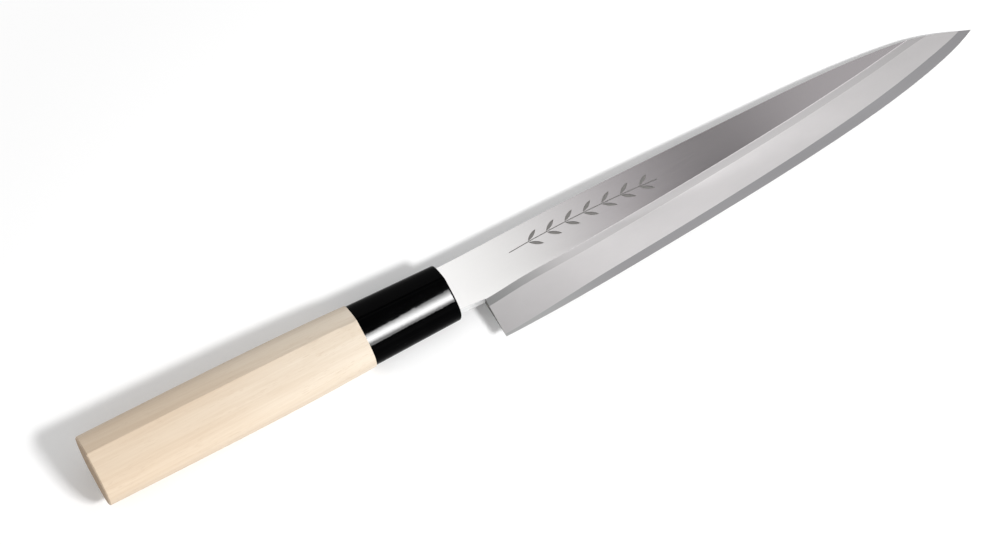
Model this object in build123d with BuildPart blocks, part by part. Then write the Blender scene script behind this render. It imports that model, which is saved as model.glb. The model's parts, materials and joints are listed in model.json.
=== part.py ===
"""Single-bevel slicing knife, lying flat on a table with its bevelled side up.

The knife rests on the front lower rim of its ferrule and on its tip, which lifts the butt a little.
X runs from the butt to the tip, Y towards the spine, Z up from the table. The origin is on the table,
under the middle of the knife's box. Every place below is measured along the handle's axis from the butt,
and every height and side step is measured from that axis.
"""

import os
from math import atan2, cos, sin

from build123d import *

os.makedirs("parts", exist_ok=True)

# Lengths along the axis
wood_length = 97.5
ferrule_length = 32.8
neck_length = 9.4
edge_length = 201.7
tang_length = 85.0

# Handle sections, widest near the butt
swell_width = 25.3
swell_height = 20.3
swell_place = 24.0
shoulder_width = 23.1
shoulder_height = 18.4
butt_chamfer = 0.4

# Ferrule
ferrule_rear_width = 22.4
ferrule_rear_height = 17.8
ferrule_front_width = 20.7
ferrule_front_height = 16.8
ferrule_wall = 1.8
ferrule_front_wall = 4.0
ferrule_rim_round = 0.7
glue_gap = 0.1

# Blade plan
spine_side = 10.1
neck_edge_side = 8.6
neck_flare = 0.5
heel_edge_side = 23.4
heel_root_round = 2.5

# Blade section
blade_thickness = 3.2
tip_thickness = 1.25
bevel_width = 15.3
strip_width = 2.6

# Hard steel plate under the blade
plate_thickness = 0.45
plate_tip_thickness = 0.36
plate_end_thickness = 0.17
plate_start = 3.2
plate_rise_length = 49.0

# Hollow ground into the flat underside
hollow_depth = 0.2
hollow_edge_rim = 1.6
hollow_spine_rim = 2.6

# Tang, its bedding and the bead that closes the mouth of the ferrule
tang_root_height = 11.0
tang_root_thickness = 2.9
tang_end_height = 5.5
tang_end_thickness = 1.8
bedding_thickness = 0.8
bead_thickness = 0.3

# Engraved sprig on the upper flat
sprig_length = 58.0
sprig_start = 25.0
sprig_side = 2.0
stem_width = 0.3
stem_bow = 1.1
leaf_length = 5.2
leaf_width = 1.25
leaf_gap = 0.5
leaf_angle = 32.0
leaf_pairs = 7
engraving_depth = 0.12

# How far cutting shapes run past what they cut
overrun = 2.0

# Corner and handle points of the section's curves, as shares of its half width and half height
ridge_share = 0.12
wood_soft_share = 0.035
ferrule_soft_share = 0.15
edge_facet_shares = ((-0.48, 0.78), (-1.0, 0.58))
edge_belly_shares = ((-1.0, -0.53), (-0.66, -1.0))
flat_share = 0.26
spine_belly_shares = ((0.70, -1.0), (1.0, -0.57))
spine_facet_shares = ((1.0, 0.54), (0.72, 0.72))

# Places of the wood's sections, as shares of its length
wood_shares = (0, 0.25, 0.45, 0.65, 0.84, 1.0)

# Spine line, as shares of the length from ferrule to tip and of the spine's side step
spine_shares = ((0, 0.876), (0.14, 0.945), (0.30, 1.0), (0.55, 1.0), (0.76, 0.94))
spine_end_shares = ((0.855, 0.785), (0.935, 0.465), (1.0, 0))
spine_end_slope_share = 6.6

# Cutting edge, as shares of the edge length and of the rise from heel to tip
edge_shares = ((0, 0), (0.12, 0.024), (0.26, 0.092), (0.40, 0.177), (0.54, 0.275))
edge_end_shares = ((0.68, 0.398), (0.80, 0.543), (0.90, 0.717), (0.96, 0.862), (1.0, 1.0))

# Bevel: its loss of width at the tip and the heel, its rise below the steep strip, and its sections
bevel_narrowing_share = 0.3
bevel_narrowing_power = 10
heel_narrowing_share = 0.08
heel_run_share = 0.083
heel_narrowing_power = 1.5
bevel_rise_share = 0.76
bevel_stations = 12

# Depth of the hollow at places along the edge length
hollow_shares = ((0.08, 0.30), (0.22, 0.95), (0.45, 1.0), (0.70, 0.85), (0.86, 0.50), (0.94, 0.20))

# Places along the axis
front_place = wood_length + ferrule_length
heel_place = front_place + neck_length
tip_place = heel_place + edge_length
shoulder_place = front_place - ferrule_front_wall
tang_end_place = front_place - tang_length
blade_length = tip_place - front_place
back_drop = blade_thickness / 2

# Resting pose: the line from the ferrule's lower rim to the tip lies on the table
rest_angle = atan2(ferrule_front_height / 2 - back_drop, blade_length)
taper_angle = atan2(blade_thickness - tip_thickness, blade_length)
butt_reach = swell_height / 2 * sin(rest_angle)
tip_reach = tip_place * cos(rest_angle) - back_drop * sin(rest_angle)
axis_start = (
    -(tip_reach - butt_reach) / 2,
    (heel_edge_side - swell_width / 2) / 2,
    front_place * sin(rest_angle) + ferrule_front_height / 2 * cos(rest_angle),
)


def tilted(origin, angle):
    """Plane facing up, turned nose down by an angle."""
    return Plane(origin=origin, x_dir=(cos(angle), 0, -sin(angle)), z_dir=(sin(angle), 0, cos(angle)))


lying = tilted(axis_start, rest_angle)
back = lying.offset(-back_drop)
handle_axis = Axis(axis_start, lying.x_dir)
side = Plane(origin=axis_start, x_dir=lying.x_dir, z_dir=-lying.y_dir)
upper_flat = tilted(lying.from_local_coords((front_place, 0, back_drop)), rest_angle + taper_angle)


def across(place):
    """Plane square to the handle's axis, its first axis towards the spine and its second up."""
    return Plane(origin=lying.from_local_coords((place, 0, 0)), x_dir=lying.y_dir, z_dir=lying.x_dir)


def thickness_at(place):
    """Blade thickness between the flat back and the upper flat."""
    return blade_thickness - (place - front_place) * (blade_thickness - tip_thickness) / blade_length


def chestnut(place, width, height, soft_share):
    """Section of the handle: two soft facets under a softened ridge, and a belly with a narrow flat."""

    def points(shares):
        return [Vector(across_share * width / 2, up_share * height / 2) for across_share, up_share in shares]

    ridge, edge_end, spine_end = points(((ridge_share, 1), (-1, 0), (1, 0)))
    edge_bottom, spine_bottom = points(((-flat_share, -1), (flat_share, -1)))
    edge_near, edge_far = points(edge_facet_shares)
    spine_far, spine_near = points(spine_facet_shares)
    edge_start = ridge + (edge_near - ridge) * soft_share
    spine_start = ridge + (spine_near - ridge) * soft_share
    with BuildSketch(across(place)) as section:
        with BuildLine():
            Bezier(edge_start, edge_near, edge_far, edge_end)
            Bezier(edge_end, *points(edge_belly_shares), edge_bottom)
            Line(edge_bottom, spine_bottom)
            Bezier(spine_bottom, *points(spine_belly_shares), spine_end)
            Bezier(spine_end, spine_far, spine_near, spine_start)
            Bezier(spine_start, ridge, edge_start)
        make_face()
    return section.sketch


def swelling(place):
    """Width and height of the wood, widest at the swell and falling off on both sides of it."""
    fall = abs((place - swell_place) / (wood_length - swell_place)) ** 3
    width = swell_width - (swell_width - shoulder_width) * fall
    height = swell_height - (swell_height - shoulder_height) * fall
    return width, height


def spine_points():
    """Points of the spine line in the plan, from the ferrule to the tip."""
    table = spine_shares + spine_end_shares
    return [(front_place + along * blade_length, out * spine_side) for along, out in table]


def spine_side_at(place):
    """Side step of the spine at a place along the blade, on straight runs between its points."""
    points = spine_points()
    for (near, near_side), (far, far_side) in zip(points, points[1:]):
        if near <= place <= far:
            return near_side + (far_side - near_side) * (place - near) / (far - near)
    return points[-1][1]


def edge_points():
    """Points of the cutting edge in the plan, from the heel to the tip."""
    table = edge_shares + edge_end_shares
    return [(heel_place + along * edge_length, (rise - 1) * heel_edge_side) for along, rise in table]


# Cutting edge, on the plane of the flat back
with BuildLine(back) as edge_path:
    Spline(*edge_points())


def bevel_section(along, run_out=0):
    """Section of what the bevel takes away: the long bevel, then the steep strip under the ridge."""
    tip_loss = bevel_narrowing_share * along**bevel_narrowing_power
    heel_loss = heel_narrowing_share * max(0, 1 - along / heel_run_share) ** heel_narrowing_power
    width = bevel_width * (1 - tip_loss - heel_loss)
    direction = edge_path.line % along
    foot = edge_path.line @ along + direction * run_out
    inward = lying.z_dir.cross(direction)
    crest_place = lying.to_local_coords(foot + inward * width).X
    crest_rise = thickness_at(crest_place)
    knee = (width - strip_width, crest_rise * bevel_rise_share)
    steepness = (crest_rise - knee[1]) / strip_width
    low = (-overrun, -overrun * knee[1] / knee[0])
    high = (width + overrun, crest_rise + overrun * steepness)
    reach = -(heel_edge_side + spine_side)
    with BuildSketch(Plane(origin=foot, x_dir=inward, z_dir=direction)) as section:
        with BuildLine():
            Polyline(low, knee, high, (reach, high[1]), (reach, low[1]), close=True)
        make_face()
    return section.sketch


# What the bevel takes away
with BuildPart() as bevel_cut:
    stations = [bevel_section(0, run_out=-overrun)]
    stations += [bevel_section(station / bevel_stations) for station in range(bevel_stations + 1)]
    stations += [bevel_section(1, run_out=overrun)]
    loft(sections=stations)

# What is hollow ground out of the flat back
with BuildPart() as hollow_cut:
    hollow_stations = []
    for along, depth_share in hollow_shares:
        foot = back.to_local_coords(edge_path.line @ along)
        low_side = foot.Y + hollow_edge_rim
        high_side = spine_side_at(foot.X) - hollow_spine_rim
        crown = ((low_side + high_side) / 2, hollow_depth * depth_share - back_drop)
        with BuildSketch(across(foot.X)) as hollow_section:
            with BuildLine():
                chord = Line((low_side, -back_drop), (high_side, -back_drop))
                ThreePointArc(chord @ 0, crown, chord @ 1)
            make_face()
        hollow_stations.append(hollow_section.sketch)
    loft(sections=hollow_stations)

# Blade before its two steels are told apart, without the tang
with BuildPart() as blade_blank:
    with BuildSketch(back) as plan:
        with BuildLine():
            tip_slope = (blade_length, -spine_end_slope_share * spine_side)
            spine_line = Spline(*spine_points(), tangents=((1, 0), tip_slope))
            past_tip = spine_line @ 1 + (spine_line % 1) * overrun
            Polyline(
                spine_line @ 1,
                past_tip,
                (past_tip.X, -heel_edge_side - overrun),
                (heel_place, -heel_edge_side - overrun),
                (heel_place, -neck_edge_side - neck_flare),
                (front_place, -neck_edge_side),
                (shoulder_place, -neck_edge_side),
                (shoulder_place, (spine_line @ 0).Y),
                spine_line @ 0,
            )
        make_face()
        heel_root = back.from_local_coords((heel_place, -neck_edge_side - neck_flare, 0))
        fillet(plan.vertices().sort_by_distance(heel_root)[0], heel_root_round)
    extrude(amount=blade_thickness + overrun)
    split(bisect_by=upper_flat, keep=Keep.BOTTOM)
    add(bevel_cut.part, mode=Mode.SUBTRACT)
    add(hollow_cut.part, mode=Mode.SUBTRACT)

# Space of the hard steel plate: it thins towards the heel and ends bluntly in the neck
with BuildPart() as plate_zone:
    with BuildSketch(side) as plate_profile:
        with BuildLine():
            start_place = front_place + plate_start
            full_place = start_place + plate_rise_length
            end_place = tip_place + overrun
            plate_top = plate_thickness - back_drop
            plate_end_top = plate_end_thickness - back_drop
            plate_rise = Bezier(
                (start_place, plate_end_top),
                (start_place + plate_rise_length / 3, plate_end_top),
                (full_place - plate_rise_length / 3, plate_top),
                (full_place, plate_top),
            )
            Polyline(
                plate_rise @ 1,
                (end_place, plate_tip_thickness - back_drop),
                (end_place, -back_drop - overrun),
                (start_place, -back_drop - overrun),
                plate_rise @ 0,
            )
        make_face()
    extrude(amount=heel_edge_side + overrun, both=True)

# Edge steel: the hard plate that is the whole flat back and the cutting edge
with BuildPart() as edge_steel:
    add(blade_blank.part)
    add(plate_zone.part, mode=Mode.INTERSECT)

# Tang: a plain bar that tapers into the handle
with BuildPart() as tang:
    with BuildSketch(across(shoulder_place)):
        Rectangle(tang_root_height, tang_root_thickness)
    with BuildSketch(across(tang_end_place)):
        Rectangle(tang_end_height, tang_end_thickness)
    loft(ruled=True)

# One leaf of the engraved sprig, its stalk end at the stem
with BuildSketch() as leaf:
    with BuildLine():
        leaf_tip = leaf_gap + leaf_length
        leaf_middle = leaf_gap + leaf_length / 2
        ThreePointArc((leaf_gap, 0), (leaf_middle, leaf_width / 2), (leaf_tip, 0))
        ThreePointArc((leaf_tip, 0), (leaf_middle, -leaf_width / 2), (leaf_gap, 0))
    make_face()

# Blade body: the softer steel above the plate, with the neck, the tang and the engraved sprig
with BuildPart() as blade_body:
    add(blade_blank.part)
    add(plate_zone.part, mode=Mode.SUBTRACT)
    add(tang.part)
    with BuildSketch(upper_flat) as sprig:
        with BuildLine():
            sprig_end = sprig_start + sprig_length
            stem = ThreePointArc(
                (sprig_start, sprig_side),
                ((sprig_start + sprig_end) / 2, sprig_side + stem_bow),
                (sprig_end, sprig_side),
            )
        trace(line_width=stem_width)
        for pair in range(leaf_pairs):
            for turn in (-leaf_angle, leaf_angle):
                root = stem @ ((pair + 1) / (leaf_pairs + 1))
                with Locations(Location((root.X, root.Y, 0), (0, 0, turn))):
                    add(leaf.sketch)
    extrude(amount=-engraving_depth, mode=Mode.SUBTRACT)

# Hole for the tang: the tang's own shape, wider by the bedding
with BuildPart() as tang_hole:
    tenon_end_place = shoulder_place - glue_gap
    hole_end_place = tang_end_place - bedding_thickness
    with BuildSketch(across(tenon_end_place)):
        Rectangle(tang_root_height + 2 * bedding_thickness, tang_root_thickness + 2 * bedding_thickness)
    with BuildSketch(across(hole_end_place)):
        Rectangle(tang_end_height + 2 * bedding_thickness, tang_end_thickness + 2 * bedding_thickness)
    loft(ruled=True)

# Handle body: swelling wood, with a tenon for the ferrule
tenon_width = ferrule_front_width - 2 * ferrule_wall
tenon_height = ferrule_front_height - 2 * ferrule_wall
with BuildPart() as handle_body:
    wood_places = [share * wood_length for share in wood_shares]
    loft(sections=[chestnut(place, *swelling(place), wood_soft_share) for place in wood_places])
    butt_face = handle_body.faces().sort_by(handle_axis)[0]
    chamfer(butt_face.edges(), butt_chamfer)
    with BuildSketch(across(wood_length)):
        Ellipse(tenon_width / 2, tenon_height / 2)
    extrude(amount=tenon_end_place - wood_length)
    add(tang_hole.part, mode=Mode.SUBTRACT)

# Tang bedding: what fills the hole round the tang
with BuildPart() as tang_bedding:
    add(tang_hole.part)
    add(tang.part, mode=Mode.SUBTRACT)

# Slot for the neck in the front wall of the ferrule
with BuildPart() as mouth_slot:
    neck_spine_side = spine_side_at(front_place)
    with BuildSketch(across(shoulder_place)):
        with Locations(((neck_spine_side - neck_edge_side) / 2, 0)):
            Rectangle(
                neck_spine_side + neck_edge_side + 2 * bead_thickness,
                blade_thickness + 2 * bead_thickness,
            )
    extrude(amount=ferrule_front_wall)

# Ferrule: a cap with a socket for the tenon and a slot for the neck
with BuildPart() as ferrule:
    rear = chestnut(wood_length, ferrule_rear_width, ferrule_rear_height, ferrule_soft_share)
    front = chestnut(front_place, ferrule_front_width, ferrule_front_height, ferrule_soft_share)
    loft(sections=[rear, front])
    front_face = ferrule.faces().sort_by(handle_axis)[-1]
    fillet(front_face.edges(), ferrule_rim_round)
    with BuildSketch(across(wood_length)):
        Ellipse(tenon_width / 2 + glue_gap, tenon_height / 2 + glue_gap)
    extrude(amount=shoulder_place - wood_length, mode=Mode.SUBTRACT)
    add(mouth_slot.part, mode=Mode.SUBTRACT)

# Mouth seal: the bead that closes the slot round the neck
with BuildPart() as mouth_seal:
    add(mouth_slot.part)
    add(blade_blank.part, mode=Mode.SUBTRACT)

blade_body.part.label = "blade_body"
edge_steel.part.label = "edge_steel"
handle_body.part.label = "handle_body"
ferrule.part.label = "ferrule"
tang_bedding.part.label = "tang_bedding"
mouth_seal.part.label = "mouth_seal"

export_step(blade_body.part, "parts/blade_body.step")
export_step(edge_steel.part, "parts/edge_steel.step")
export_step(handle_body.part, "parts/handle_body.step")
export_step(ferrule.part, "parts/ferrule.step")
export_step(tang_bedding.part, "parts/tang_bedding.step")
export_step(mouth_seal.part, "parts/mouth_seal.step")
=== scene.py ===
"""Looks of the single-bevel slicing knife: steels, wood, ferrule, white table, studio light and camera.

Metres throughout. The knife lies along X with its butt at low X, its spine towards Y and its bevel up.
"""

import json
import math

import bpy
from mathutils import Matrix, Vector


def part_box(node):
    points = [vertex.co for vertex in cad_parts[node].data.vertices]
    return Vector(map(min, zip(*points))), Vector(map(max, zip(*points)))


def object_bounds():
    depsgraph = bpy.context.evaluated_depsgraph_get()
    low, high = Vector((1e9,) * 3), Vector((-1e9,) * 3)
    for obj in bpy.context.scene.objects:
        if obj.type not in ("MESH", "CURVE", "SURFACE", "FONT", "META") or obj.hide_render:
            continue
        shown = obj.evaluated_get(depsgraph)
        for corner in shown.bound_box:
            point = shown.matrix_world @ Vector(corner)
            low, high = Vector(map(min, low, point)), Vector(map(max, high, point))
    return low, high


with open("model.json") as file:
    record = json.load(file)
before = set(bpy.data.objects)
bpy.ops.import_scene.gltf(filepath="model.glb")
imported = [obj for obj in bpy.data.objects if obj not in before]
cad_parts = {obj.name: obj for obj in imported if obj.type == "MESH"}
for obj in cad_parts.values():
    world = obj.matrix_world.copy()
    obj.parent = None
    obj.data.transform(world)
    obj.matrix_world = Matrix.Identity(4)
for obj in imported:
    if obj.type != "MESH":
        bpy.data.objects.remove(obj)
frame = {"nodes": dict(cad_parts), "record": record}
cad_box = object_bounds()

MM = 0.001

# The knife's own axes: its flat back looks down along the mount's axis
knife_up = -Vector(frame["record"]["mounts"][0]["axis"])
knife_along = Vector((knife_up.z, 0, -knife_up.x))
to_spine = Vector((0, 1, 0))

# Blade: where it leaves the ferrule, along the knife, its length and its thickness at both ends
blade_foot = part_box("mouth_seal")[1].dot(knife_along)
blade_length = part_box("edge_steel")[1].dot(knife_along) - blade_foot
blade_thickness = 3.2 * MM
tip_thickness = 1.25 * MM

# Wood: its length, its ridge as a share of its half width, and how far the facets beside that lean
wood_length = 97.5 * MM
ridge_share = 0.12
edge_facet_lean = 0.303
spine_facet_lean = 0.385
wood_low, wood_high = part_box("handle_body")
ridge_across = (wood_low.y + wood_high.y) / 2 + ridge_share * (wood_high.y - wood_low.y) / 2
edge_facet = (knife_up - to_spine * edge_facet_lean).normalized()
spine_facet = (knife_up + to_spine * spine_facet_lean).normalized()

# Every span below is two values between which something changes smoothly, the other way round
# where the first is the higher. These are for how squarely a face looks in a direction.
upward = (0.5, 0.8)
heelward = (0.5, 0.7)
edgeward = (0.7, 0.9)

# Every noise below is its waves per metre along X, Y and Z, its detail and its roughness
flat_hairlines = ((45, 9000, 9000), 3.0, 0.6)
long_hairlines = ((14, 2600, 2600), 2.0, 0.5)
blasting = ((5200, 5200, 5200), 2.0, 0.6)
bevel_clouds = ((55, 110, 110), 3.0, 0.55)
band_hairlines = ((45, 7000, 7000), 3.0, 0.6)
band_clouds = ((60, 160, 160), 3.0, 0.55)
wood_fibres = ((22, 1500, 1500), 4.0, 0.6)
growth_rings = ((6, 190, 190), 3.0, 0.5)
pore_field = ((330, 4200, 4200), 1.0, 0.4)
pore_patches = ((60, 260, 260), 2.0, 0.5)
end_grain = ((300, 2600, 2600), 2.0, 0.6)
ferrule_haze = ((160, 160, 160), 3.0, 0.55)
ferrule_hairlines = ((60, 5200, 5200), 2.0, 0.6)
resin_mottle = ((900, 900, 900), 3.0, 0.6)

# Softer steel, each grey as its level, warmth and rose, or a pair of such greys
neck_greys = ((0.57, 0.010), (0.65, 0.010))
flat_greys = ((0.575, 0.018, 0.04), (0.655, 0.018, 0.04))
heel_bevel_greys = ((0.485, 0.012, 0.016), (0.585, 0.012, 0.016))
middle_bevel_greys = ((0.685, 0.012, 0.016), (0.83, 0.012, 0.016))
tip_bevel_greys = ((0.535, 0.012, 0.016), (0.645, 0.012, 0.016))
strip_greys = ((0.455, 0.012, 0.018), (0.535, 0.012, 0.018))
strip_far_grey = (0.368, 0.012, 0.018)
# Painted shade: the strip darkens towards the heel
strip_heel_painted_shade_grey = (0.27,)
side_greys = ((0.275, 0.0, 0.025), (0.385, 0.0, 0.025))
# Painted highlight: the neck's side, which faces the lamp, is painted nearly white
neck_side_painted_highlight_grey = (0.95,)
# Painted shade: the heel's end face is painted near black, for the dark it mirrors
heel_face_painted_shade_grey = (0.09, 0.06)
groove_greys = ((0.34, 0.03), (0.48, 0.03))

# Softer steel, spans as shares of the blade's length
neck_to_flat = (0.05, 0.40)
heel_to_middle = (0.02, 0.30)
middle_to_tip = (0.40, 0.95)
strip_to_far = (0.18, 0.46)
# Where the strip's painted shade at the heel begins
strip_to_heel_shade = (0.21, 0.06)
# Where the painted highlight on the neck's side ends
neck_highlight_end = (0.12, 0.10)
sprig_start = (0.10, 0.11)
sprig_end = (0.42, 0.41)

# Softer steel, spans across the knife and below its upper flat, the last as shares of the thickness
sprig_side = (3.0 * MM, 4.0 * MM)
cut_depth = (0.008 * MM, 0.03 * MM)
bevel_depth = (0.225, 0.245)

# Softer steel, roughness and depths of its relief
flat_roughness = (0.10, 0.16)
strip_roughness = 0.28
bevel_roughness = 0.44
side_roughness = 0.5
groove_roughness = 0.7
hairline_depth = 0.0006 * MM
blast_depth = 0.0035 * MM
bevel_blast_share = 0.35
steel_anisotropy = 0.5

# Hard steel
band_greys = ((0.302, -0.008, 0.022), (0.355, -0.004, 0.022))
band_heel_grey = (0.46,)
back_greys = ((0.50, 0.01), (0.62, 0.01))
band_to_heel = (0.30, 0.04)
band_hairline_share = 0.4
back_roughness = (0.2, 0.34)
band_roughness = (0.34, 0.42)
band_hairline_depth = 0.0014 * MM

# Wood: its colours at the butt and at the ferrule, then pores and end grain
butt_light, front_light = (0.655, 0.540, 0.415, 1.0), (0.700, 0.618, 0.515, 1.0)
butt_deep, front_deep = (0.595, 0.468, 0.343, 1.0), (0.635, 0.540, 0.430, 1.0)
pore_colour = (0.50, 0.37, 0.26, 1.0)
end_dark, end_light = (0.27, 0.18, 0.105, 1.0), (0.44, 0.315, 0.20, 1.0)
end_facing = (0.6, 0.85)
wood_forward = (0.1, 1.1)
fibre_share = 0.45
deep_fibres = (0.34, 0.68)
pore_rise = (0.60, 0.70)
pore_patch_rise = (0.40, 0.62)
pore_strength = 0.35
fibre_height = 0.5
wood_relief_depth = 0.012 * MM
wood_relief_strength = 0.6
wood_roughness = (0.5, 0.64)
wood_specular = 0.3

# Wood: half the width of its softened ridge, and where its facets' own directions fade out
ridge_turn = (-0.25 * MM, 0.25 * MM)
facet_reach = (4.0 * MM, 2.5 * MM)
facet_upward = (0.6, 0.8)

# Ferrule
ferrule_dark, ferrule_light = (0.0003, 0.0003, 0.0004, 1.0), (0.0012, 0.0012, 0.0014, 1.0)
ferrule_roughness = (0.03, 0.07)
ferrule_gloss_hairlines = 0.35
ferrule_relief_hairlines = 0.2
ferrule_relief_depth = 0.0006 * MM
ferrule_specular = 0.015

# Resins
bedding_dark, bedding_light = (0.30, 0.19, 0.08, 1.0), (0.48, 0.33, 0.17, 1.0)
seal_dark, seal_light = (0.012, 0.012, 0.013, 1.0), (0.03, 0.03, 0.032, 1.0)
resin_roughness = (0.5, 0.7)
resin_relief_depth = 0.02 * MM

# Floor and world. The glow rises with the distance from the middle of what the lamp lights
floor_size = 6.0
floor_drop = 0.05 * MM
floor_tone = 0.93
near_glow = 0.05
far_glow = 0.45
lit_middle = (0.05, -0.30, 0)
lit_reach = (0.46, 0.80)
ambient = 0.6

# Lamp that casts the shadow, seen from the butt
key_direction = Vector((0.38, -0.63, 0.68)).normalized()
key_distance = 0.9
key_size = (0.17, 0.10)
key_level = 0.77

# Window that only the ferrule mirrors: bright across its middle, dim at its borders
window_direction = Vector((0.25, -0.425, 0.870)).normalized()
window_distance = 1.0
window_size = (0.5, 0.36)
window_peak_side = 0.045
window_core = 0.17
window_peak = 880.0
window_border = 150.0

# Ceiling card that the blade mirrors. Each run along X is its first level, then spans and the levels
# that follow them. The bevel mirrors the near run, the upper flat the one beyond it
ceiling_height = 1.4
ceiling_size = 5.0
bevel_run = (0.30, ((0.30, 0.62), 1.95), ((0.78, 1.0), 1.0))
flat_run = (0.15, ((0.66, 0.80), 0.60), ((0.69, 0.30), 1.8))
bevel_to_flat = (0.40, 0.52)
flat_to_dark = (0.85, 1.0)
dark_level = 0.05

# Camera: aimed at a point on the table, from the low left of the knife
camera_aim = Vector((-19.45, 6.6, 0)) * MM
camera_distance = 883.02 * MM
camera_heading = math.radians(26.712)
camera_height = math.radians(62.874)
camera_roll = math.radians(-3.495)
camera_lens = 94.382
sensor_width = 36.0


def grey(level, warmth=0.0, rose=0.0):
    """A grey of that linear level, redder with more warmth and less green with more rose."""
    return (level * (1 + warmth), level * (1 - rose), level * (1 - warmth), 1.0)


class Graph:
    """The nodes of one material, of a light or of the world, added and joined in short calls."""

    def __init__(self, owner, output):
        owner.use_nodes = True
        self.owner = owner
        self.tree = owner.node_tree
        self.tree.nodes.clear()
        self.output = self.tree.nodes.new(output)

    def feed(self, socket, value):
        """Joins a socket to another one, or sets its value."""
        if isinstance(value, bpy.types.NodeSocket):
            self.tree.links.new(value, socket)
        else:
            socket.default_value = value

    def add(self, kind, sockets, **settings):
        """A node of that kind, its settings set and its named or numbered sockets fed."""
        made = self.tree.nodes.new(kind)
        for name, value in settings.items():
            setattr(made, name, value)
        for key, value in sockets.items():
            self.feed(made.inputs[key], value)
        return made

    def math(self, operation, *values):
        return self.add("ShaderNodeMath", dict(enumerate(values)), operation=operation).outputs[0]

    def vector_math(self, operation, *values):
        return self.add("ShaderNodeVectorMath", dict(enumerate(values)), operation=operation)

    def dot(self, vector, direction):
        return self.vector_math("DOT_PRODUCT", vector, tuple(direction)).outputs["Value"]

    def noise(self, place, waves, detail, roughness):
        stretched = self.vector_math("MULTIPLY", place, waves).outputs[0]
        sockets = {"Vector": stretched, "Scale": 1.0, "Detail": detail, "Roughness": roughness}
        return self.add("ShaderNodeTexNoise", sockets).outputs["Fac"]

    def rise(self, value, span):
        """0 before the span's first value, 1 past its second, smooth between."""
        low, high = span
        sockets = {"Value": value, "From Min": low, "From Max": high, "To Min": 0.0, "To Max": 1.0}
        if high < low:
            sockets.update({"From Min": high, "From Max": low, "To Min": 1.0, "To Max": 0.0})
        return self.add("ShaderNodeMapRange", sockets, interpolation_type="SMOOTHSTEP").outputs[0]

    def blend(self, share, first, second):
        """A number between two numbers."""
        made = self.add("ShaderNodeMix", {0: share, 2: first, 3: second}, data_type="FLOAT")
        return made.outputs[0]

    def tint(self, share, first, second):
        """A colour between two colours."""
        made = self.add("ShaderNodeMix", {0: share, 6: first, 7: second}, data_type="RGBA")
        return made.outputs[2]

    def greys(self, share, pair):
        """A colour between the two greys of a pair."""
        return self.tint(share, *(grey(*values) for values in pair))

    def turn(self, share, first, second):
        """A direction between two directions."""
        made = self.add("ShaderNodeMix", {0: share, 4: first, 5: second}, data_type="VECTOR")
        return self.vector_math("NORMALIZE", made.outputs[1]).outputs[0]

    def both(self, *shares):
        """The product of shares."""
        result = shares[0]
        for share in shares[1:]:
            result = self.math("MULTIPLY", result, share)
        return result

    def run(self, value, first_level, *steps):
        """A level that changes to the next one over each span of the value."""
        level = first_level
        for span, next_level in steps:
            level = self.blend(self.rise(value, span), level, next_level)
        return level

    def place(self):
        return self.add("ShaderNodeTexCoord", {}).outputs["Object"]

    def facing(self):
        return self.add("ShaderNodeNewGeometry", {}).outputs["Normal"]

    def faces(self, direction, span):
        """1 where a face looks in a direction as squarely as the span asks."""
        return self.rise(self.dot(self.facing(), direction), span)

    def along_blade(self):
        """0 where the blade leaves the ferrule, 1 at its tip."""
        forward = self.math("SUBTRACT", self.dot(self.place(), knife_along), blade_foot)
        return self.math("DIVIDE", forward, blade_length)

    def bump(self, height, distance, strength=1.0, normal=None):
        sockets = {"Height": height, "Distance": distance, "Strength": strength}
        if normal is not None:
            sockets["Normal"] = normal
        return self.add("ShaderNodeBump", sockets).outputs[0]

    def surface(self, **sockets):
        """A principled surface whose sockets are named in words joined by underscores."""
        made = self.add("ShaderNodeBsdfPrincipled", {})
        for name, value in sockets.items():
            self.feed(made.inputs[name.replace("_", " ")], value)
        self.show(made)

    def show(self, shader):
        """Joins a shader to the output."""
        self.feed(self.output.inputs["Surface"], shader.outputs[0])


def material(name):
    return Graph(bpy.data.materials.new(name), "ShaderNodeOutputMaterial")


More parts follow.
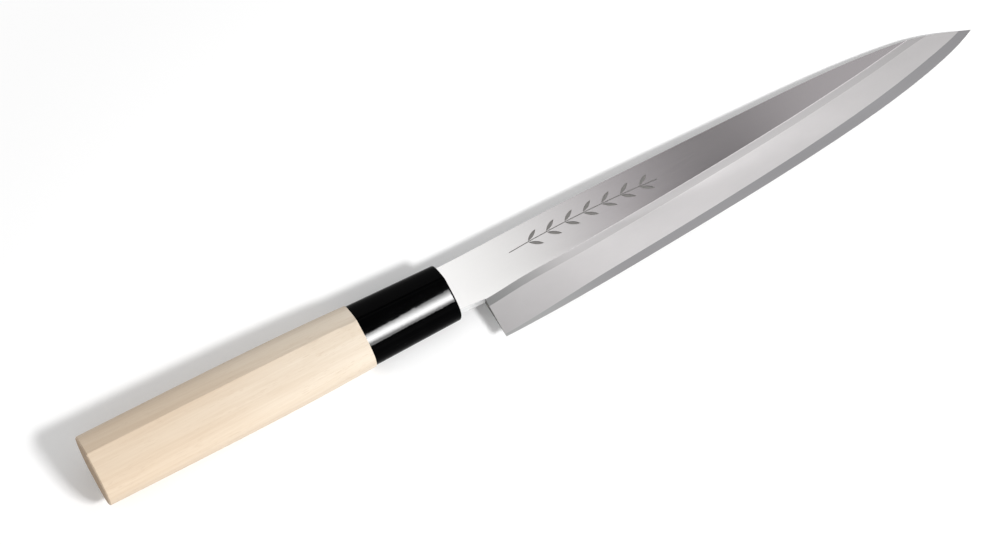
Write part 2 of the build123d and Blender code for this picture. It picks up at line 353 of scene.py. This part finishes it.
def blade_steel():
    """Softer steel: brushed upper flat, fine matt bevel, steep strip with painted shade towards the
    heel, dark grooves and dull sides, with a painted highlight on the neck's side and painted shade on
    the heel's face.
    """
    g = material("soft_steel")
    place = g.place()

    # Where on the blade: along it, across it and how deep below its upper flat
    faces = frame["nodes"]["blade_body"].data.polygons
    flat = max(faces, key=lambda face: face.area * (face.normal.z > 0.9))
    depth = g.math("SUBTRACT", flat.center.dot(flat.normal), g.dot(place, flat.normal))
    along = g.along_blade()
    thickness = g.blend(along, blade_thickness, tip_thickness)

    # 1 on each of its kinds of face
    up = g.faces(knife_up, upward)
    cut = g.rise(depth, cut_depth)
    bevel = g.both(cut, up)
    below_strip = g.rise(g.math("DIVIDE", depth, thickness), bevel_depth)
    sprig_run = g.both(g.rise(along, sprig_start), g.rise(along, sprig_end))
    groove = g.both(cut, g.rise(g.dot(place, to_spine), sprig_side), sprig_run)
    # Painted highlight: the neck's side that faces the lamp
    painted_neck_highlight = g.both(g.faces(-to_spine, edgeward), g.rise(along, neck_highlight_end))
    # Painted shade: the heel's end face, which looks towards the butt
    painted_heel_shade = g.faces(-knife_along, heelward)

    # Hairlines run along the upper flat, and the bevel is blasted and a little cloudy
    scratch = g.blend(0.5, g.noise(place, *flat_hairlines), g.noise(place, *long_hairlines))
    blast = g.noise(place, *blasting)
    mottle = g.blend(bevel_blast_share, g.noise(place, *bevel_clouds), blast)

    flat_tone = g.greys(scratch, flat_greys)
    flat_tone = g.tint(g.rise(along, neck_to_flat), g.greys(scratch, neck_greys), flat_tone)
    bevel_tone = g.greys(mottle, middle_bevel_greys)
    bevel_tone = g.tint(g.rise(along, heel_to_middle), g.greys(mottle, heel_bevel_greys), bevel_tone)
    bevel_tone = g.tint(g.rise(along, middle_to_tip), bevel_tone, g.greys(mottle, tip_bevel_greys))
    strip_tone = g.greys(scratch, strip_greys)
    strip_tone = g.tint(g.rise(along, strip_to_far), strip_tone, grey(*strip_far_grey))
    # Painted shade: the strip darker towards the heel
    strip_tone = g.tint(g.rise(along, strip_to_heel_shade), strip_tone, grey(*strip_heel_painted_shade_grey))
    # The sides are dull grey, but the neck's side gets a painted highlight
    side_tone = g.tint(painted_neck_highlight, g.greys(scratch, side_greys), grey(*neck_side_painted_highlight_grey))
    # The heel's end face gets painted shade
    side_tone = g.tint(painted_heel_shade, side_tone, grey(*heel_face_painted_shade_grey))

    tone = g.tint(below_strip, strip_tone, bevel_tone)
    tone = g.tint(bevel, flat_tone, tone)
    tone = g.tint(up, side_tone, tone)
    tone = g.tint(groove, tone, g.greys(blast, groove_greys))

    roughness = g.blend(below_strip, strip_roughness, bevel_roughness)
    roughness = g.blend(bevel, g.blend(scratch, *flat_roughness), roughness)
    roughness = g.blend(up, side_roughness, roughness)
    roughness = g.blend(groove, roughness, groove_roughness)

    lines = g.bump(scratch, hairline_depth)
    grain = g.bump(blast, g.blend(bevel, 0.0, blast_depth), 1.0, lines)
    g.surface(
        Base_Color=tone, Metallic=1.0, Roughness=roughness, Normal=grain, Anisotropic=steel_anisotropy
    )
    return g.owner


def edge_steel():
    """Hard steel: the darker band along the edge and the flat back, ground finer, with painted shade on
    its heel face.
    """
    g = material("hard_steel")
    place = g.place()
    up = g.faces(knife_up, upward)
    hairline = g.noise(place, *band_hairlines)
    cloud = g.noise(place, *band_clouds)
    band = g.greys(g.blend(band_hairline_share, cloud, hairline), band_greys)
    band = g.tint(g.rise(g.along_blade(), band_to_heel), band, grey(*band_heel_grey))
    back = g.greys(hairline, back_greys)
    # Painted shade: the heel's end face is painted near black
    back = g.tint(g.faces(-knife_along, heelward), back, grey(*heel_face_painted_shade_grey))
    roughness = g.blend(up, g.blend(hairline, *back_roughness), g.blend(cloud, *band_roughness))
    g.surface(
        Base_Color=g.tint(up, back, band),
        Metallic=1.0,
        Roughness=roughness,
        Normal=g.bump(hairline, band_hairline_depth),
        Anisotropic=steel_anisotropy,
    )
    return g.owner


def pale_wood():
    """Unvarnished pale wood: long fibres, short darker pores and browner end grain."""
    g = material("pale_wood")
    place = g.place()
    fibre = g.noise(place, *wood_fibres)
    growth = g.noise(place, *growth_rings)
    pore = g.rise(g.noise(place, *pore_field), pore_rise)
    pore = g.both(pore, g.rise(g.noise(place, *pore_patches), pore_patch_rise))

    # Warmer and darker towards the butt
    forward = g.math("SUBTRACT", g.dot(place, (1, 0, 0)), cad_box[0][0])
    forward = g.rise(g.math("DIVIDE", forward, wood_length), wood_forward)
    light = g.tint(forward, butt_light, front_light)
    deep = g.tint(forward, butt_deep, front_deep)
    tone = g.tint(g.rise(g.blend(fibre_share, growth, fibre), deep_fibres), light, deep)
    tone = g.tint(g.math("MULTIPLY", pore, pore_strength), tone, pore_colour)
    end = g.rise(g.math("ABSOLUTE", g.dot(g.facing(), knife_along)), end_facing)
    tone = g.tint(end, tone, g.tint(g.noise(place, *end_grain), end_dark, end_light))

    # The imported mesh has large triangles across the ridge, so the two facets beside it get their
    # own even directions, which keeps the line between them straight and crisp
    off_ridge = g.math("SUBTRACT", g.dot(place, to_spine), ridge_across)
    facet = g.turn(g.rise(off_ridge, ridge_turn), tuple(edge_facet), tuple(spine_facet))
    by_ridge = g.rise(g.math("ABSOLUTE", off_ridge), facet_reach)
    by_ridge = g.both(by_ridge, g.faces(knife_up, facet_upward))
    facing = g.turn(by_ridge, g.facing(), facet)

    height = g.math("SUBTRACT", g.math("MULTIPLY", fibre, fibre_height), pore)
    g.surface(
        Base_Color=tone,
        Roughness=g.blend(fibre, *wood_roughness),
        Normal=g.bump(height, wood_relief_depth, wood_relief_strength, facing),
        Specular_IOR_Level=wood_specular,
    )
    return g.owner


def black_ferrule():
    """Polished black ferrule, with the faint haze and hairlines of handling."""
    g = material("black_ferrule")
    place = g.place()
    haze = g.noise(place, *ferrule_haze)
    hairline = g.noise(place, *ferrule_hairlines)
    g.surface(
        Base_Color=g.tint(haze, ferrule_dark, ferrule_light),
        Roughness=g.blend(g.blend(ferrule_gloss_hairlines, haze, hairline), *ferrule_roughness),
        Normal=g.bump(g.blend(ferrule_relief_hairlines, haze, hairline), ferrule_relief_depth),
        Specular_IOR_Level=ferrule_specular,
    )
    return g.owner


def dull(name, dark, light):
    """A dull resin with a little mottling, for the bead and the bedding."""
    g = material(name)
    mottle = g.noise(g.place(), *resin_mottle)
    g.surface(
        Base_Color=g.tint(mottle, dark, light),
        Roughness=g.blend(mottle, *resin_roughness),
        Normal=g.bump(mottle, resin_relief_depth),
    )
    return g.owner


def dress(node, made):
    """Gives a node of the frame its material."""
    slots = frame["nodes"][node].data.materials
    slots.clear()
    slots.append(made)


def seen_ray(g):
    """1 on rays that show the background: straight from the camera, mirrored or let through."""
    path = g.add("ShaderNodeLightPath", {})
    seen = g.math("MAXIMUM", path.outputs["Is Camera Ray"], path.outputs["Is Glossy Ray"])
    return g.math("MAXIMUM", seen, path.outputs["Is Transmission Ray"])


def plane(name, size):
    """A flat square about the origin, facing up."""
    corners = [(x * size / 2, y * size / 2, 0) for x, y in ((-1, -1), (1, -1), (1, 1), (-1, 1))]
    mesh = bpy.data.meshes.new(name)
    mesh.from_pydata(corners, [], [(0, 1, 2, 3)])
    made = bpy.data.objects.new(name, mesh)
    bpy.context.scene.collection.objects.link(made)
    return made


def make_floor():
    """White table top, whose glow lifts it to white where no shadow falls or the lamp is far."""
    floor = plane("floor", floor_size)
    floor.location.z = -floor_drop
    g = material("white_table")
    spread = g.vector_math("DISTANCE", g.place(), lit_middle).outputs["Value"]
    level = g.blend(g.rise(spread, lit_reach), near_glow, far_glow)
    diffuse = g.add("ShaderNodeBsdfDiffuse", {"Color": grey(floor_tone)})
    glow = g.add("ShaderNodeEmission", {"Strength": g.math("MULTIPLY", seen_ray(g), level)})
    g.show(g.add("ShaderNodeAddShader", {0: diffuse.outputs[0], 1: glow.outputs[0]}))
    floor.data.materials.append(g.owner)


def make_world():
    """White where it is seen, a plain level where it lights."""
    world = bpy.data.worlds.new("studio")
    bpy.context.scene.world = world
    g = Graph(world, "ShaderNodeOutputWorld")
    strength = g.blend(seen_ray(g), ambient, 1.0)
    g.show(g.add("ShaderNodeBackground", {"Color": grey(1.0), "Strength": strength}))


def make_ceiling():
    """Card over the table that only shows in what is glossy, with a run for the bevel and the flat."""
    ceiling = plane("ceiling", ceiling_size)
    ceiling.visible_camera = False
    ceiling.visible_diffuse = False
    ceiling.visible_shadow = False
    ceiling.location.z = ceiling_height
    g = material("ceiling_card")
    place = g.add("ShaderNodeSeparateXYZ", {0: g.place()})
    x, y = place.outputs["X"], place.outputs["Y"]
    level = g.blend(g.rise(y, bevel_to_flat), g.run(x, *bevel_run), g.run(x, *flat_run))
    level = g.blend(g.rise(y, flat_to_dark), level, dark_level)
    g.show(g.add("ShaderNodeEmission", {"Color": grey(1.0), "Strength": level}))
    ceiling.data.materials.append(g.owner)


def add_area_light(name, size, location, target):
    """A rectangular light aimed at a point, hidden from the camera."""
    data = bpy.data.lights.new(name, "AREA")
    data.shape = "RECTANGLE"
    data.size, data.size_y = size
    light = bpy.data.objects.new(name, data)
    bpy.context.scene.collection.objects.link(light)
    light.location = location
    light.rotation_mode = "QUATERNION"
    light.rotation_quaternion = (target - location).to_track_quat("-Z", "Y")
    light.visible_camera = False
    return light


def make_key_light():
    """Lamp right of the butt, above the edge side: it casts the shadow and mirrors in nothing."""
    butt = Vector((cad_box[0][0], 0, 0))
    light = add_area_light("key", key_size, butt + key_direction * key_distance, butt)
    # These watts light a white surface that faces the lamp to key_level
    light.data.energy = key_level * math.pi ** 2 * key_distance ** 2
    light.visible_glossy = False


def make_window():
    """Window whose mirror image is the long streak on the ferrule."""
    low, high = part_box("ferrule")
    crown = Vector(((low.x + high.x) / 2, (low.y + high.y) / 2, high.z))
    light = add_area_light("window", window_size, crown + window_direction * window_distance, crown)
    # These watts make the window as bright as the strength of its glow
    light.data.energy = math.pi * window_size[0] * window_size[1]
    light.visible_diffuse = False
    g = Graph(light.data, "ShaderNodeOutputLight")
    spot = g.add("ShaderNodeNewGeometry", {}).outputs["Position"]
    side = g.add("ShaderNodeSeparateXYZ", {0: spot}).outputs["Y"]
    off_peak = g.math("ABSOLUTE", g.math("SUBTRACT", side, light.location.y + window_peak_side))
    level = g.blend(g.rise(off_peak, (window_core, 0)), window_border, window_peak)
    g.show(g.add("ShaderNodeEmission", {"Strength": level}))
    mirrored_by = bpy.data.collections.new("mirrors_the_window")
    mirrored_by.objects.link(frame["nodes"]["ferrule"])
    light.light_linking.receiver_collection = mirrored_by


def make_camera():
    """Camera at the photograph's angle."""
    data = bpy.data.cameras.new("camera")
    data.lens = camera_lens
    data.sensor_width = sensor_width
    camera = bpy.data.objects.new("camera", data)
    bpy.context.scene.collection.objects.link(camera)
    level = math.cos(camera_height)
    ahead = Vector((
        math.sin(camera_heading) * level,
        math.cos(camera_heading) * level,
        -math.sin(camera_height),
    ))
    camera.location = camera_aim - ahead * camera_distance
    camera.rotation_mode = "QUATERNION"
    upright = ahead.to_track_quat("-Z", "Y")
    camera.rotation_quaternion = upright @ Matrix.Rotation(camera_roll, 4, "Z").to_quaternion()
    bpy.context.scene.camera = camera


dress("blade_body", blade_steel())
dress("edge_steel", edge_steel())
dress("handle_body", pale_wood())
dress("ferrule", black_ferrule())
dress("tang_bedding", dull("bedding_resin", bedding_dark, bedding_light))
dress("mouth_seal", dull("black_seal", seal_dark, seal_light))

make_floor()
make_world()
make_ceiling()
make_key_light()
make_window()
make_camera()
bpy.context.scene.view_settings.view_transform = "Standard"
